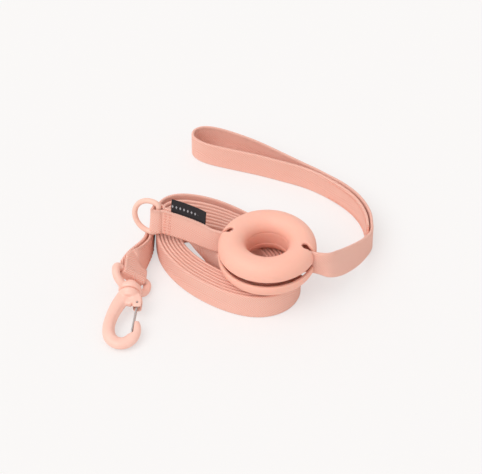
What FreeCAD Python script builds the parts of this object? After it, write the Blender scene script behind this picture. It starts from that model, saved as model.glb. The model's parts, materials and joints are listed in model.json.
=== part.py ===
import FreeCAD, Part
import math
import os

# A webbing dog lead, shortened on a silicone ring winder.
# Millimetres, +Z up, standing on Z = 0. The origin is on the floor, on the winder's axis.
# +Y runs from the winder towards the far end of the hand loop, +X to its right.

Vector = FreeCAD.Vector
Rotation = FreeCAD.Rotation
UP = Vector(0, 0, 1)

doc = FreeCAD.newDocument("webbing_lead")
sizes = doc.addObject("Spreadsheet::Sheet", "sizes")

SIZES = [
    # webbing
    ("webbing_width", 20.0),
    ("webbing_thickness", 2.2),
    ("layer_gap", 0.3),
    ("strap_lean", 10.0),
    # ring winder: two half-torus shells on a short hub
    ("winder_radius", 35.0),
    ("winder_bore_radius", 15.0),
    ("winder_wall", 2.4),
    ("winder_height", 29.7),
    ("winder_mouth", 4.6),
    ("winder_seat", 0.1),
    ("slot_clearance", 0.6),
    ("keyhole_radius", 2.7),
    ("keyhole_reach", 28.0),
    ("slot_heading", -18.0),
    ("winding_inner_radius", 20.0),
    ("winding_outer_radius", 26.5),
    # rubber-coated D-ring in the strap fold, its bar this far from the round part's centre
    ("ring_outer_radius", 14.8),
    ("ring_wire_radius", 2.0),
    ("ring_bar_reach", 5.8),
    ("ring_heading", -24.0),
    ("fold_heading", -24.0),
    ("fold_past_bar", 5.1),
    ("label_setback", 4.9),
    # woven label
    ("label_length", 28.0),
    ("label_height", 12.0),
    ("label_thickness", 0.6),
    ("label_stand_up", 10.0),
    # swivel eye and snap hook
    ("eye_inner_width", 23.0),
    ("eye_wire_radius", 2.5),
    ("eye_depth", 14.0),
    ("eye_inner_foot_bend", 0.5),
    ("eye_inner_corner", 1.5),
    ("collar_radius", 8.3),
    ("collar_height", 5.0),
    ("post_radius", 3.6),
    ("post_clearance", 0.1),
    ("swivel_play", 0.3),
    ("head_radius", 5.0),
    ("head_height", 4.6),
    ("hook_limb_radius", 4.1),
    ("hook_thickness", 7.2),
    ("hook_length", 52.0),
    ("hook_roll", 43.0),
    ("hook_pitch", 9.0),
    ("hook_heading", -4.1),
    ("shoulder_height", 6.0),
    ("shoulder_step", 0.6),
    ("web_step", 1.0),
    ("web_reach_left", 8.5),
    ("web_length", 15.0),
    ("web_top", 5.0),
    ("web_height", 9.0),
    ("gate_wire_radius", 0.65),
    ("gate_half_spacing", 1.5),
    ("gate_length", 25.0),
    ("gate_pivot_across", 6.6),
    ("gate_pivot_along", 13.0),
    ("gate_end_across", 5.2),
    ("gate_end_clearance", 1.2),
    ("gate_pin_clearance", 0.1),
    ("gate_slot_clearance", 0.3),
    ("gate_slot_above_pivot", 1.4),
    ("gate_slot_length", 13.4),
    ("gate_slot_reach_left", 4.0),
    ("gate_seat_length", 14.0),
    # sewing
    ("stitch_length", 2.6),
    ("stitch_width", 0.7),
    ("stitch_height", 0.4),
    ("stitch_pitch", 3.6),
    ("stitch_gap", 0.45),
    # how far a cutter reaches past what it cuts
    ("overrun", 5.0),
]
for row, (alias, value) in enumerate(SIZES, start=1):
    sizes.set(f"A{row}", alias)
    sizes.set(f"B{row}", str(value))
    sizes.setAlias(f"B{row}", alias)
doc.recompute()


def size(alias):
    return float(getattr(sizes, alias))


def primitive(kind, name, base=None, **bound):
    """A Part primitive whose properties, and place where given, are bound to the sheet."""
    item = doc.addObject(kind, name)
    for key, rule in bound.items():
        item.setExpression(key, rule)
    for axis, rule in (base or {}).items():
        item.setExpression(f"Placement.Base.{axis}", rule)
    return item


def turn(item, axis, degrees):
    """Turns a primitive about its own origin; its place stays bound."""
    place = item.Placement
    item.Placement = FreeCAD.Placement(place.Base, Rotation(axis, degrees))
    return item


def fuse(name, *items):
    item = doc.addObject("Part::MultiFuse", name)
    item.Shapes = list(items)
    return item


def cut(name, base, *tools):
    item = doc.addObject("Part::Cut", name)
    item.Base = base
    item.Tool = tools[0] if len(tools) == 1 else fuse(name + "_tools", *tools)
    return item


NODES = []


def node(item, label, place=None):
    """Marks an object as one sub-part of the lead."""
    item.Label = label
    if place is not None:
        item.Placement = place
    NODES.append(item)
    return item


def set_shape(label, shape):
    item = doc.addObject("Part::Feature", label)
    item.Shape = shape
    return node(item, label, FreeCAD.Placement())


# ---------------------------------------------------------------- ribbons of webbing

WIDTH = size("webbing_width")
THICK = size("webbing_thickness")
LAYER = THICK + size("layer_gap")


class Route:
    """A quadratic B-spline through hand-placed control points, with the webbing's width direction."""

    def __init__(self, points, ups):
        self.line = self.spline([Vector(*p) for p in points])
        self.ups = self.spline([Vector(*u) for u in ups])
        self.length = self.line.length()
        self.last = self.line.LastParameter

    @staticmethod
    def spline(poles):
        curve = Part.BSplineCurve()
        spans = len(poles) - 2
        knots = [float(k) for k in range(spans + 1)]
        curve.buildFromPolesMultsKnots(poles, [3] + [1] * (spans - 1) + [3], knots, False, 2)
        return curve

    def frame(self, t):
        """Point, direction, width direction and face normal at parameter t."""
        point = self.line.value(t)
        along = self.line.tangent(t)[0]
        across = self.ups.value(t)
        across = (across - along * across.dot(along)).normalize()
        return point, along, across, along.cross(across)

    def parameter(self, distance):
        return self.line.parameterAtDistance(distance, 0.0)

    def tightest(self):
        steps = [self.last * k / 200 for k in range(201)]
        bends = [self.line.curvature(t) for t in steps]
        return 1 / max(max(bends), 1e-6)


def section(route, t, offset, across_at, width, thickness):
    point, along, across, normal = route.frame(t)
    middle = point + normal * offset + across * across_at
    half_w, half_t = across * (width / 2), normal * (thickness / 2)
    corners = [
        middle - half_w - half_t,
        middle + half_w - half_t,
        middle + half_w + half_t,
        middle - half_w + half_t,
    ]
    return Part.makePolygon(corners + corners[:1])


def ribbon(
    label, route, start=0.0, end=None, step=6.0, offset=0.0, across_at=0.0, width=WIDTH, thickness=THICK
):
    """A flat strap along a route, between two distances, as one closed solid."""
    end = route.length if end is None else end
    count = max(3, round((end - start) / step))
    stations = [route.parameter(start + (end - start) * k / count) for k in range(count + 1)]
    wires = [section(route, t, offset, across_at, width, thickness) for t in stations]
    solid = Part.makeLoft(wires, True, True)
    expected = width * thickness * (end - start)
    print(
        f"{label}: length {end - start:.1f} mm, tightest bend {route.tightest():.1f} mm, "
        f"volume ratio {abs(solid.Volume) / expected:.3f}"
    )
    return set_shape(label, solid)


def stitch_row(route, start, end, across_at, side, offset=0.0):
    """Short raised stitches along one face of a strap."""
    long, wide, high = size("stitch_length"), size("stitch_width"), size("stitch_height")
    count = int((end - start) / size("stitch_pitch"))
    stitches = []
    for k in range(count):
        t = route.parameter(start + (k + 0.5) * size("stitch_pitch"))
        point, along, across, normal = route.frame(t)
        face = offset + side * (THICK / 2 + size("stitch_gap") + high / 2)
        middle = point + normal * face + across * across_at
        box = Part.makeBox(long, wide, high, Vector(-long / 2, -wide / 2, -high / 2))
        box.Placement = FreeCAD.Placement(middle, Rotation(along, across, normal, "XYZ"))
        stitches.append(box)
    return stitches


# ---------------------------------------------------------------- ring winder

MIDDLE = "(sizes.winder_seat + sizes.webbing_width + sizes.winder_height / 2)"
TUBE = "((sizes.winder_radius - sizes.winder_bore_radius) / 2)"
RING = "((sizes.winder_radius + sizes.winder_bore_radius) / 2)"
HUB_HALF = f"(sizes.winder_height / 2 - {TUBE})"


def slot_tools(name, half):
    """The two radial slots, with a round keyhole at the inner end of each."""
    tools = []
    for side, sign in (("left", -1), ("right", 1)):
        slot = primitive(
            "Part::Box",
            f"{name}_{side}_slot",
            Length="sizes.winder_radius - sizes.keyhole_reach + sizes.overrun",
            Width="sizes.webbing_thickness + 2 * sizes.slot_clearance",
            Height="sizes.winder_height",
        )
        slot.setExpression(
            "Placement.Base.x",
            "sizes.keyhole_reach" if sign > 0 else "-sizes.winder_radius - sizes.overrun",
        )
        slot.setExpression("Placement.Base.y", "-(sizes.webbing_thickness / 2 + sizes.slot_clearance)")
        slot.setExpression("Placement.Base.z", "0" if half > 0 else "-sizes.winder_height")
        keyhole = primitive(
            "Part::Cylinder",
            f"{name}_{side}_keyhole",
            {"x": f"{sign} * sizes.keyhole_reach", "z": "0" if half > 0 else "-sizes.winder_height"},
            Radius="sizes.keyhole_radius",
            Height="sizes.winder_height",
        )
        tools += [slot, keyhole]
    return tools


def shell(label, half):
    """One silicone flange: half a torus tube, open towards the winder's middle."""
    sign = 1 if half > 0 else -1
    centre = {"z": f"{sign} * {HUB_HALF}"}
    outside = primitive("Part::Torus", label + "_outside", centre, Radius1=RING, Radius2=TUBE)
    inside = primitive(
        "Part::Torus", label + "_inside", centre, Radius1=RING, Radius2=f"{TUBE} - sizes.winder_wall"
    )
    other_side = primitive(
        "Part::Cylinder",
        label + "_other_side",
        {"z": f"{HUB_HALF} - sizes.winder_height" if half > 0 else f"-{HUB_HALF}"},
        Radius="sizes.winder_radius + sizes.overrun",
        Height="sizes.winder_height",
    )
    cup = cut(label + "_cup", outside, inside, other_side)
    lip_height = f"{HUB_HALF} - sizes.winder_mouth / 2"
    lip_low = {"z": "sizes.winder_mouth / 2" if half > 0 else f"-{HUB_HALF}"}
    lip_outside = primitive(
        "Part::Cylinder", label + "_lip_outside", lip_low, Radius="sizes.winder_radius", Height=lip_height
    )
    lip_inside = primitive(
        "Part::Cylinder",
        label + "_lip_inside",
        lip_low,
        Radius="sizes.winder_radius - sizes.winder_wall",
        Height=lip_height,
    )
    lip = cut(label + "_lip", lip_outside, lip_inside)
    return cut(label, fuse(label + "_blank", cup, lip), *slot_tools(label, half))


WINDER_MIDDLE = size("winder_seat") + WIDTH + size("winder_height") / 2
winder_place = FreeCAD.Placement(Vector(0, 0, WINDER_MIDDLE), Rotation(UP, size("slot_heading")))
node(shell("winder_upper_shell", 1), "winder_upper_shell", winder_place)
node(shell("winder_lower_shell", -1), "winder_lower_shell", winder_place)


def tube(label, outer, inner, half_height):
    low = {"z": f"-{half_height}"}
    height = f"2 * {half_height}"
    outside = primitive("Part::Cylinder", label + "_outside", low, Radius=outer, Height=height)
    inside = primitive("Part::Cylinder", label + "_inside", low, Radius=inner, Height=height)
    return node(cut(label, outside, inside), label, winder_place)


tube("winder_hub", "sizes.winder_bore_radius + sizes.winder_wall", "sizes.winder_bore_radius", HUB_HALF)
tube("strap_winding", "sizes.winding_outer_radius", "sizes.winding_inner_radius", "(sizes.webbing_width / 2)")


# ---------------------------------------------------------------- coil on the floor

# Outer face of the outermost turn and inner face of the innermost one, seen from above.
COIL_OUTSIDE = [
    (-80.3, 37.0), (-76.5, 22.0), (-66.3, 5.0), (-51.6, -10.5), (-31.4, -24.3), (-12.0, -31.0),
    (3.5, -29.7), (16.0, -22.3), (23.5, -10.0), (24.0, 5.0), (18.0, 23.0), (8.0, 40.0),
    (-5.0, 53.0), (-18.0, 63.5), (-34.5, 74.0), (-50.0, 80.0), (-64.4, 82.0), (-75.0, 77.0),
    (-80.5, 66.0), (-81.8, 52.0),
]
COIL_INSIDE = [
    (-60.8, 38.5), (-58.0, 29.0), (-52.6, 19.0), (-43.9, 10.2), (-34.4, 1.0), (-24.2, -5.6),
    (-13.0, -8.7), (-5.0, -7.0), (-0.4, -1.2), (0.6, 8.0), (-5.4, 20.0), (-15.0, 31.0),
    (-28.0, 40.0), (-42.0, 46.0), (-54.0, 48.0), (-60.2, 45.0),
]


def closed_face(points):
    curve = Part.BSplineCurve()
    curve.interpolate([Vector(x, y, 0) for x, y in points], PeriodicFlag=True)
    return Part.Face(Part.Wire(curve.toShape()))


coil_solid = closed_face(COIL_OUTSIDE).cut(closed_face(COIL_INSIDE)).extrude(UP * WIDTH)
set_shape("strap_coil", coil_solid.Solids[0])


# ---------------------------------------------------------------- ring and its strap fold

def heading(degrees):
    return Vector(math.cos(math.radians(degrees)), math.sin(math.radians(degrees)), 0)


def leaning(degrees_heading, degrees_lean):
    """Width direction of a strap that runs along a heading and leans back from it."""
    away = UP.cross(heading(degrees_heading))
    lean = math.radians(degrees_lean)
    return UP * math.cos(lean) + away * math.sin(lean)


LEAN = size("strap_lean")
RING_RADIUS = size("ring_outer_radius")
ring_up = leaning(size("ring_heading"), LEAN)
ring_height = WIDTH + size("layer_gap") + RING_RADIUS * math.cos(math.radians(LEAN))
RING_CENTRE = Vector(-81.1, 37.6, ring_height)
ring_along = heading(size("ring_heading"))

# The D-ring's own frame: X towards its bar, Y along the bar, origin at the round part's centre.
BAR_HALF = "sqrt((sizes.ring_outer_radius - sizes.ring_wire_radius)^2 - sizes.ring_bar_reach^2)"
ring_round = primitive(
    "Part::Torus",
    "ring_round",
    Radius1="sizes.ring_outer_radius - sizes.ring_wire_radius",
    Radius2="sizes.ring_wire_radius",
)
past_bar = primitive(
    "Part::Box",
    "ring_past_bar",
    {"x": "sizes.ring_bar_reach", "y": "-sizes.ring_outer_radius", "z": "-sizes.ring_outer_radius"},
    Length="sizes.ring_outer_radius",
    Width="2 * sizes.ring_outer_radius",
    Height="2 * sizes.ring_outer_radius",
)
ring_bar = primitive(
    "Part::Cylinder",
    "ring_bar",
    {"x": "sizes.ring_bar_reach", "y": f"-{BAR_HALF}"},
    Radius="sizes.ring_wire_radius",
    Height=f"2 * {BAR_HALF}",
)
ring_bar.Placement = FreeCAD.Placement(ring_bar.Placement.Base, Rotation(Vector(1, 0, 0), -90))
ring_corners = [
    primitive(
        "Part::Sphere",
        f"ring_{end}_corner",
        {"x": "sizes.ring_bar_reach", "y": f"{sign} * {BAR_HALF}"},
        Radius="sizes.ring_wire_radius",
    )
    for end, sign in (("low", -1), ("high", 1))
]
d_ring = fuse("d_ring", cut("ring_arc", ring_round, past_bar), ring_bar, *ring_corners)
ring_turn = Rotation(ring_along, ring_up, ring_along.cross(ring_up), "XYZ")
node(d_ring, "d_ring", FreeCAD.Placement(RING_CENTRE, ring_turn))

fold_along = heading(size("fold_heading"))
fold_up = leaning(size("fold_heading"), LEAN)
fold_back = UP.cross(fold_along)
RING_BAR = size("ring_bar_reach")
TURN = size("ring_wire_radius") + size("layer_gap") + THICK / 2
DEPTH = RING_BAR + size("fold_past_bar")
SEAM = (LAYER + size("label_thickness")) / 2


def in_fold(along, back, height=0.0):
    """A point of the fold, from the ring's centre."""
    return RING_CENTRE + fold_along * along + fold_back * back + fold_up * height


# From the seam round the ring's bar and back to the seam.
FOLD_ROUTE = [
    (DEPTH, -SEAM), (DEPTH - 1.2, -SEAM), (DEPTH - 2.6, -TURN + 0.5), (RING_BAR, -TURN - 0.1),
    (RING_BAR - TURN, -TURN), (RING_BAR - TURN, 0), (RING_BAR - TURN, TURN),
    (RING_BAR, TURN + 0.1), (DEPTH - 2.6, TURN - 0.5), (DEPTH - 1.2, SEAM), (DEPTH, SEAM),
]
fold_route = Route([in_fold(a, b) for a, b in FOLD_ROUTE], [fold_up] * len(FOLD_ROUTE))
ribbon("strap_ring_fold", fold_route, step=2.0)

# Front layer, from the seam to the winding inside the winder.
slot_line = heading(size("slot_heading"))


def at_slot(radius, side):
    return slot_line * (side * radius) + UP * WINDER_MIDDLE


front_start = in_fold(DEPTH, -SEAM)
FRONT_ROUTE = [
    front_start, in_fold(DEPTH + 5, -SEAM), in_fold(DEPTH + 14.5, -SEAM), Vector(-47.5, 19.0, 34.9),
    at_slot(42, -1), at_slot(34, -1), at_slot(size("winding_outer_radius") + 0.1, -1),
]
front_ups = [fold_up, fold_up, fold_up, leaning(-28, LEAN * 0.8), leaning(-18, 2), UP, UP]
front_route = Route(FRONT_ROUTE, front_ups)
ribbon("strap_ring_run", front_route, start=0.05)

# Back layer, sewn behind the front one and then down into the coil's hollow.
REAR_ROUTE = [
    in_fold(DEPTH, SEAM), in_fold(DEPTH + 5, SEAM), in_fold(DEPTH + 14.5, SEAM), Vector(-48.5, 23.0, 29.5),
    Vector(-41.3, 18.4, 18.0), Vector(-35.0, 10.6, 10.0), Vector(-26.0, 1.8, 10.0),
    Vector(-16.0, -3.4, 10.0), Vector(-8.4, -5.9, 10.0),
]
rear_ups = [fold_up, fold_up, fold_up, leaning(-28, LEAN), leaning(-40, 5), UP, UP, UP, UP]
rear_route = Route(REAR_ROUTE, rear_ups)
ribbon("strap_rise", rear_route, start=0.05)

set_shape(
    "ring_stitching",
    Part.makeCompound(
        [
            stitch
            for across_at in (-8.0, -4.0, 0.0, 4.0, 8.0)
            for stitch in stitch_row(front_route, 1.0, 6.0, across_at, 1)
        ]
    ),
)

# Woven label: a tab sewn between the two layers, standing above their top edges.
LABEL_START = size("label_setback")
ribbon(
    "woven_label",
    front_route,
    start=LABEL_START,
    end=LABEL_START + size("label_length"),
    step=4.0,
    offset=-(LAYER + size("label_thickness")) / 2,
    across_at=WIDTH / 2 + size("label_stand_up") - size("label_height") / 2,
    width=size("label_height"),
    thickness=size("label_thickness"),
)


# ---------------------------------------------------------------- swivel eye and snap hook

# The hook's own frame: origin at the collar's centre, +Y from the hook towards the eye's bar.
COLLAR_CENTRE = Vector(-97.5, -14.5, 12.0)
hook_turn = Rotation(UP, size("hook_heading")) * Rotation(Vector(1, 0, 0), size("hook_pitch"))
eye_turn = hook_turn * Rotation(Vector(0, 1, 0), size("hook_roll"))
hook_place = FreeCAD.Placement(COLLAR_CENTRE, hook_turn)
eye_place = FreeCAD.Placement(COLLAR_CENTRE, eye_turn)
ALONG_Y = Rotation(Vector(1, 0, 0), -90)


def disc(name, y_low, radius, length):
    """A cylinder along the hook's own Y axis."""
    item = primitive("Part::Cylinder", name, {"y": y_low}, Radius=radius, Height=length)
    item.Placement = FreeCAD.Placement(item.Placement.Base, ALONG_Y)
    return item


def rod(points, radii, wire_radius):
    """A round rod along straight runs joined by tangent arcs, one radius for each inner point."""
    edges = []
    start = points[0]
    for k in range(1, len(points) - 1):
        corner = points[k]
        back = (points[k - 1] - corner).normalize()
        ahead = (points[k + 1] - corner).normalize()
        half = back.getAngle(ahead) / 2
        reach = radii[k - 1] / math.tan(half)
        first, last = corner + back * reach, corner + ahead * reach
        centre = corner + (back + ahead).normalize() * (radii[k - 1] / math.sin(half))
        middle = centre + (corner - centre).normalize() * radii[k - 1]
        edges.append(Part.LineSegment(start, first).toShape())
        edges.append(Part.Arc(first, middle, last).toShape())
        start = last
    edges.append(Part.LineSegment(start, points[-1]).toShape())
    path = Part.Wire(edges)
    direction = (points[1] - points[0]).normalize()
    profile = Part.Wire(Part.makeCircle(wire_radius, points[0], direction))
    return path.makePipeShell([profile], True, False)


EYE_HALF = size("eye_inner_width") / 2 + size("eye_wire_radius")
EYE_DEPTH = size("eye_depth")
# The loop's legs start inside the collar and spread to its full width well before the bar.
EYE_FOOT = size("collar_radius") - size("eye_wire_radius")
EYE_SHOULDER = EYE_DEPTH - 3 * size("eye_wire_radius")
eye_corners = [
    Vector(-EYE_FOOT, 0, 0), Vector(-EYE_HALF, EYE_SHOULDER, 0), Vector(-EYE_HALF, EYE_DEPTH, 0),
    Vector(EYE_HALF, EYE_DEPTH, 0), Vector(EYE_HALF, EYE_SHOULDER, 0), Vector(EYE_FOOT, 0, 0),
]
eye_loop = doc.addObject("Part::Feature", "eye_loop")
FOOT_BEND = size("eye_wire_radius") + size("eye_inner_foot_bend")
CORNER_BEND = size("eye_wire_radius") + size("eye_inner_corner")
eye_bends = [FOOT_BEND, CORNER_BEND, CORNER_BEND, FOOT_BEND]
eye_loop.Shape = rod(eye_corners, eye_bends, size("eye_wire_radius"))
collar = disc("collar_outside", "-sizes.collar_height / 2", "sizes.collar_radius", "sizes.collar_height")
collar_bore = disc(
    "collar_bore",
    "-sizes.collar_height / 2 - sizes.overrun",
    "sizes.post_radius + sizes.post_clearance",
    "sizes.collar_height + 2 * sizes.overrun",
)
node(cut("swivel_eye", fuse("eye_blank", eye_loop, collar), collar_bore), "swivel_eye", eye_place)

# Swivel head: the domed cap pressed on the post's end, above the collar.
HEAD_LOW = "(sizes.collar_height / 2 + sizes.swivel_play)"
head_ball = primitive(
    "Part::Sphere",
    "head_ball",
    {"y": f"{HEAD_LOW} + sizes.head_height - sizes.head_radius"},
    Radius="sizes.head_radius",
)
head_span = disc("head_span", HEAD_LOW, "sizes.head_radius + sizes.overrun", "2 * sizes.head_radius")
head = doc.addObject("Part::Common", "swivel_head")
head.Base = head_ball
head.Tool = head_span
node(head, "swivel_head", hook_place)

# Hook body: post, shoulder and the flattened round limb that ends in the nose.
LIMB = size("hook_limb_radius")
TIP = -size("hook_length") + LIMB
hook_path = [
    Vector(-4.5, -5.0, 0), Vector(-10.5, -15.0, 0), Vector(-12.0, TIP, 0),
    Vector(8.6, TIP, 0), Vector(7.0, -29.0, 0),
]
hook_limb = doc.addObject("Part::Feature", "hook_limb")
hook_limb.Shape = rod(hook_path, [9.0, 9.4, 8.6], LIMB)
stub = doc.addObject("Part::Feature", "hook_stub")
stub.Shape = rod([Vector(3.0, -4.5, 0), Vector(6.6, -9.0, 0), Vector(7.0, -18.0, 0)], [6.0], LIMB * 0.85)
SHOULDER_TOP = "(sizes.collar_height / 2 + sizes.swivel_play)"
shoulder = disc(
    "hook_shoulder",
    f"-{SHOULDER_TOP} - sizes.shoulder_height",
    "sizes.collar_radius - sizes.shoulder_step",
    "sizes.shoulder_height",
)
web = primitive(
    "Part::Box",
    "hook_web",
    {
        "x": "-sizes.web_reach_left",
        "y": "-sizes.web_top - sizes.web_height",
        "z": "-sizes.hook_thickness / 2 + sizes.web_step",
    },
    Length="sizes.web_length",
    Width="sizes.web_height",
    Height="sizes.hook_thickness - 2 * sizes.web_step",
)
slab = primitive(
    "Part::Box",
    "hook_slab",
    {"x": "-sizes.hook_length", "y": "-2 * sizes.hook_length", "z": "-sizes.hook_thickness / 2"},
    Length="2 * sizes.hook_length",
    Width=f"2 * sizes.hook_length - {SHOULDER_TOP}",
    Height="sizes.hook_thickness",
)
flat_hook = doc.addObject("Part::Common", "hook_flat")
flat_hook.Base = fuse("hook_round", hook_limb, stub, shoulder, web)
flat_hook.Tool = slab
post = disc("hook_post", f"-{SHOULDER_TOP} - 1", "sizes.post_radius", f"{SHOULDER_TOP} * 2 + 1")

# Gate: a U of steel wire, hinged on its two turned-out ends in the stub's cheeks.
GATE_SWEEP = "(sizes.gate_half_spacing + sizes.gate_wire_radius + sizes.gate_slot_clearance)"
GATE_SLOT_TOP = "(sizes.gate_slot_above_pivot - sizes.gate_pivot_along)"
gate_slot = primitive(
    "Part::Box",
    "gate_slot",
    {
        "x": "-sizes.gate_slot_reach_left",
        "y": f"{GATE_SLOT_TOP} - sizes.gate_slot_length",
        "z": f"-{GATE_SWEEP}",
    },
    Length="sizes.gate_slot_reach_left + sizes.gate_pivot_across + sizes.gate_wire_radius"
    " + sizes.gate_slot_clearance",
    Width="sizes.gate_slot_length",
    Height=f"2 * {GATE_SWEEP}",
)
gate_bore = primitive(
    "Part::Cylinder",
    "gate_bore",
    {"x": "sizes.gate_pivot_across", "y": "-sizes.gate_pivot_along", "z": "-sizes.hook_thickness"},
    Radius="sizes.gate_wire_radius + sizes.gate_pin_clearance",
    Height="2 * sizes.hook_thickness",
)
gate_seat = primitive(
    "Part::Box",
    "gate_seat",
    {
        "x": "0",
        "y": "-sizes.gate_pivot_along - sizes.gate_length - sizes.gate_end_clearance",
        "z": "-sizes.hook_thickness",
    },
    Length="sizes.gate_pivot_across - sizes.gate_pin_clearance",
    Width="sizes.gate_seat_length",
    Height="2 * sizes.hook_thickness",
)
hook_body = cut("hook_body", fuse("hook_blank", flat_hook, post), gate_slot, gate_bore, gate_seat)
node(hook_body, "hook_body", hook_place)

SPACING = size("gate_half_spacing")
PIN_END = size("hook_thickness") / 2
gate_pivot = Vector(size("gate_pivot_across"), -size("gate_pivot_along"), 0)
gate_end = Vector(size("gate_end_across"), gate_pivot.y - size("gate_length"), 0)
gate_points = [
    gate_pivot + UP * PIN_END, gate_pivot + UP * SPACING, gate_end + UP * SPACING,
    gate_end - UP * SPACING, gate_pivot - UP * SPACING, gate_pivot - UP * PIN_END,
]
set_shape("gate_wire", rod(gate_points, [0.8, 1.4, 1.4, 0.8], size("gate_wire_radius")))
NODES[-1].Placement = hook_place


# ---------------------------------------------------------------- strap end at the hook

eye_x = eye_turn.multVec(Vector(1, 0, 0))
eye_y = eye_turn.multVec(Vector(0, 1, 0))
eye_z = eye_turn.multVec(UP)
BAR = COLLAR_CENTRE + eye_y * EYE_DEPTH
WRAP = size("eye_wire_radius") + size("layer_gap") + THICK / 2
HOOK_ROUTE = [
    Vector(-83.3, 56.0, 10.0), Vector(-83.4, 46.0, 10.0), Vector(-83.9, 38.0, 10.0),
    Vector(-85.4, 30.0, 10.0), Vector(-88.2, 21.5, 11.6), Vector(-91.6, 12.5, 14.2),
    BAR + eye_y * 9 + eye_z * (WRAP - 0.6), BAR + eye_y * 3.5 + eye_z * WRAP, BAR + eye_z * WRAP,
]
hook_ups = [UP, UP, UP, UP, UP * 0.95 - eye_x * 0.25, UP * 0.6 - eye_x * 0.6] + [eye_x * -1] * 3
hook_route = Route(HOOK_ROUTE, hook_ups)
ribbon("strap_hook_run", hook_route, start=0.3)
hook_end = hook_route.length


def under_run(from_end, slack):
    """A point under the hook run, so far back from its end, and the run's width direction there."""
    point, along, across, normal = hook_route.frame(hook_route.parameter(hook_end - from_end))
    return point + normal * (LAYER + slack), across


# How far back from the run's end, and how far the tail stands off the run there.
TAIL_UNDER_RUN = [(9.0, 2.3), (15.0, 2.8), (23.0, 2.1), (31.0, 1.2), (39.0, 0.7), (45.0, 0.5)]
tail_points = [under_run(back, slack) for back, slack in TAIL_UNDER_RUN]
wrap_turn = [(0.0, 1.0), (-1.0, 1.0), (-1.0, 0.0), (-1.0, -1.0), (0.0, -1.0)]
wrap_route = Route(
    [BAR + eye_y * (WRAP * y) + eye_z * (WRAP * z) for y, z in wrap_turn]
    + [BAR + eye_y * 4.0 - eye_z * WRAP]
    + [point for point, across in tail_points],
    [eye_x * -1] * 6 + [across for point, across in tail_points],
)
ribbon("strap_hook_fold", wrap_route, start=0.05, step=2.0)

set_shape(
    "hook_end_stitching",
    Part.makeCompound(
        [
            stitch
            for across_at in (-7.5, 7.5)
            for stitch in stitch_row(hook_route, hook_end - 44, hook_end - 18, across_at, -1)
        ]
    ),
)


# ---------------------------------------------------------------- handle run and hand loop

HANDLE_ROUTE = [
    at_slot(size("winding_outer_radius") + 0.1, 1), at_slot(32, 1), at_slot(38, 1),
    Vector(43.5, -11.5, 33.5), Vector(50.0, -5.5, 29.0), Vector(56.0, 2.5, 24.5),
    Vector(62.2, 11.5, 20.3), Vector(68.0, 21.0, 16.0), Vector(73.3, 31.5, 12.3),
    Vector(77.2, 41.5, 10.0), Vector(77.2, 50.5, 10.0),
]
run_lean = UP.cross(heading(50)) * 0.25
handle_ups = [UP, UP, UP, UP + run_lean * 0.6, UP + run_lean, UP + run_lean, UP + run_lean * 0.7]
handle_ups += [UP + run_lean * 0.3, UP, UP, UP]
handle_route = Route(HANDLE_ROUTE, handle_ups)
ribbon("strap_handle_run", handle_route)

FLOOR_HEIGHT = WIDTH / 2
# Plan points of the hand loop: along the sewn double part, the far strap, the end bend, the near strap.
LOOP_ROUTE = [
    (77.2, 50.5), (77.0, 59.5), (74.1, 69.8), (69.3, 79.8), (62.9, 88.4), (55.4, 96.0), (46.8, 103.0),
    (38.5, 109.9), (29.0, 116.6), (18.0, 125.0), (7.0, 133.2), (-6.0, 142.9), (-18.0, 149.9),
    (-31.0, 156.7), (-41.0, 160.4), (-49.5, 160.8), (-55.3, 156.5), (-55.9, 149.6), (-51.3, 143.7),
    (-44.0, 139.2), (-33.5, 135.2), (-22.0, 131.4), (-11.0, 127.9), (1.0, 123.4), (12.0, 118.9),
    (23.0, 114.4), (32.0, 109.8), (39.5, 105.0), (45.6, 100.2),
]
loop_route = Route([(x, y, FLOOR_HEIGHT) for x, y in LOOP_ROUTE], [UP] * len(LOOP_ROUTE))
ribbon("strap_hand_loop", loop_route, start=0.05, step=4.0)
TAIL_ROUTE = [
    (45.6, 100.2), (53.2, 93.5), (60.5, 85.8), (66.5, 77.4), (70.8, 68.4), (73.6, 58.8),
    (74.3, 50.5), (74.3, 46.0),
]
tail_route = Route([(x, y, FLOOR_HEIGHT) for x, y in TAIL_ROUTE], [UP] * len(TAIL_ROUTE))
ribbon("strap_loop_tail", tail_route, start=0.05, step=4.0)
set_shape(
    "loop_stitching",
    Part.makeCompound(
        [
            stitch
            for across_at in (-7.5, 7.5)
            for stitch in stitch_row(tail_route, 2, tail_route.length - 3, across_at, 1)
        ]
    ),
)


# ---------------------------------------------------------------- check and write

doc.recompute()
for item in doc.Objects:
    if {"Invalid", "Error"} & set(item.State):
        raise RuntimeError(f"{item.Name} failed: {item.State}")
for item in NODES:
    if item.Shape.isNull() or not item.Shape.isValid():
        raise RuntimeError(f"{item.Label} has no valid shape")
os.makedirs("parts", exist_ok=True)
for item in NODES:
    box = item.Shape.BoundBox
    print(
        f"{item.Label}: {len(item.Shape.Solids)} solids, {item.Shape.Volume:.0f} mm3, "
        f"x {box.XMin:.1f}..{box.XMax:.1f} y {box.YMin:.1f}..{box.YMax:.1f} z {box.ZMin:.1f}..{box.ZMax:.1f}"
    )
    item.Shape.exportStep(f"parts/{item.Label}.step")
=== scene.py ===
import json
import math

import bmesh
import bpy
import numpy as np
from mathutils import Matrix, Vector


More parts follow.
